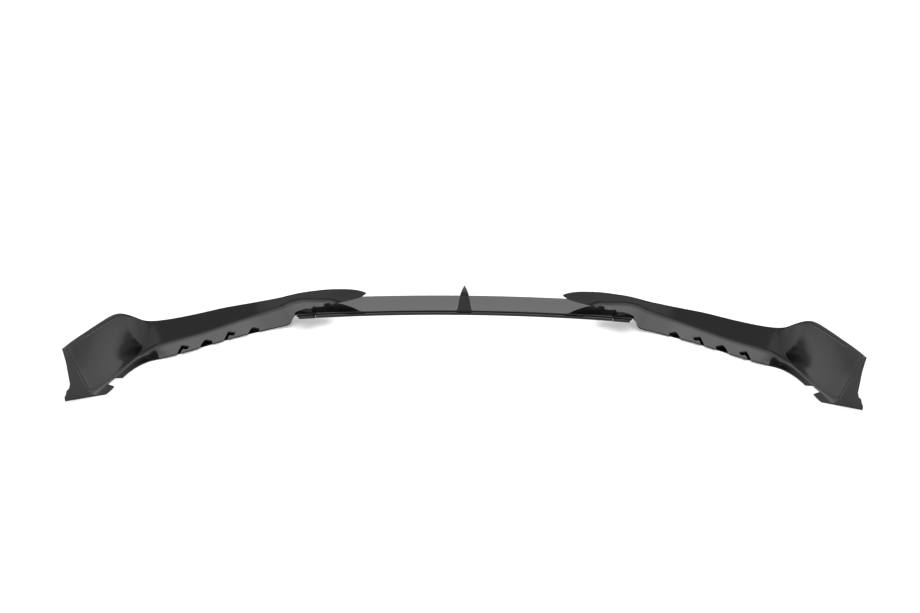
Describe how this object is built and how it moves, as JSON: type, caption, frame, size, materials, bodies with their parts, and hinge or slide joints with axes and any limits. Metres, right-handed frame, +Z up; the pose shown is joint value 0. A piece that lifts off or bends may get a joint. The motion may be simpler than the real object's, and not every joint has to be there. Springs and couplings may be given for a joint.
{
  "type": "front splitter lip",
  "caption": "Low front splitter lip for a car in gloss black plastic: side pieces with upright winglets and cut-outs, joined by a raised blade with a centre fin.",
  "frame": {"origin": "middle of the lip in plan, on the ground plane it lies on", "axes": "+X to the car's right-hand side as seen from behind the lip, +Y to the front of the car, +Z up"},
  "size_m": [1.814, 0.582, 0.1407],
  "materials": {
    "gloss_black": "polished black moulded plastic",
    "screw_steel": "dark zinc-plated steel"
  },
  "bodies": {
    "root": {"right_side_lip": "gloss_black", "left_side_lip": "gloss_black", "centre_blade": "gloss_black", "right_joint_screws": "screw_steel", "left_joint_screws": "screw_steel"}
  },
  "joints": []
}
